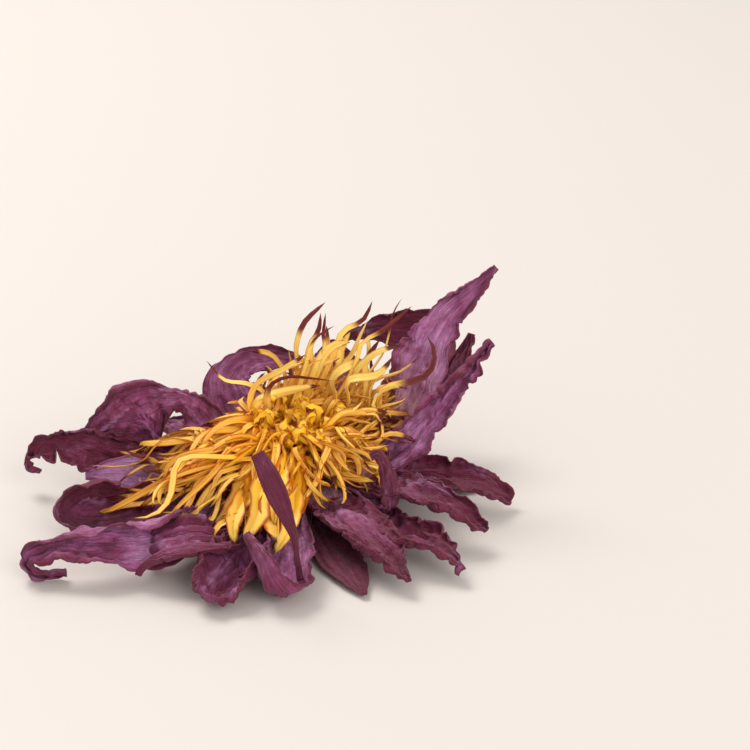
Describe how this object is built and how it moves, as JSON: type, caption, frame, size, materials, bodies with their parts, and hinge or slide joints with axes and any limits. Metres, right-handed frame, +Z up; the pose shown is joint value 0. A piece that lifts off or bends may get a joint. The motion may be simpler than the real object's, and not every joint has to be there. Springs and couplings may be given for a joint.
{
  "type": "dried lotus flower",
  "caption": "Dried open purple lotus (blue water lily) flower head with curled petals and a tangle of yellow strap stamens, lying on its cut base.",
  "frame": {"origin": "on the table, below the middle of the flower's bounding box", "axes": "+Z up, out of the flower's face; +X along the longest spread, from the long left petal to the tall right one; -Y towards the front petals and the spike"},
  "size_m": [0.1026, 0.0926, 0.0473],
  "materials": {
    "petal_purple": "dry, matt, finely veined purple petal",
    "sepal_plum": "dry, matt, dark plum sepal",
    "stamen_yellow": "dry, slightly waxy golden yellow with maroon tips",
    "disc_amber": "dry amber brown with bright yellow lobes",
    "ovary_brown": "dry, wrinkled olive brown"
  },
  "bodies": {
    "root": {"ovary": "ovary_brown", "petal_arched": "petal_purple", "petal_back": "petal_purple", "petal_back_left": "petal_purple", "petal_back_right": "petal_purple", "petal_curled": "petal_purple", "petal_front_left": "petal_purple", "petal_front_right": "petal_purple", "petal_hooked": "petal_purple", "petal_left": "petal_purple", "petal_left_back": "petal_purple", "petal_long_left": "petal_purple", "petal_low_back": "petal_purple", "petal_low_back_left": "petal_purple", "petal_low_front_left": "petal_purple", "petal_low_front_right": "petal_purple", "petal_low_left": "petal_purple", "petal_low_right": "petal_purple", "petal_rear": "petal_purple", "petal_ridged": "petal_purple", "petal_right_back": "petal_purple", "petal_right_front": "petal_purple", "petal_rolled": "petal_purple", "petal_spike": "petal_purple", "petal_tall": "petal_purple", "sepal_back": "sepal_plum", "sepal_front": "sepal_plum", "sepal_left": "sepal_plum", "sepal_right": "sepal_plum", "stamens_01": "stamen_yellow", "stamens_02": "stamen_yellow", "stamens_03": "stamen_yellow", "stamens_04": "stamen_yellow", "stamens_05": "stamen_yellow", "stamens_06": "stamen_yellow", "stamens_07": "stamen_yellow", "stamens_08": "stamen_yellow", "stamens_09": "stamen_yellow", "stamens_10": "stamen_yellow", "stamens_11": "stamen_yellow", "stamens_12": "stamen_yellow", "stigma_disc": "disc_amber"}
  },
  "joints": []
}
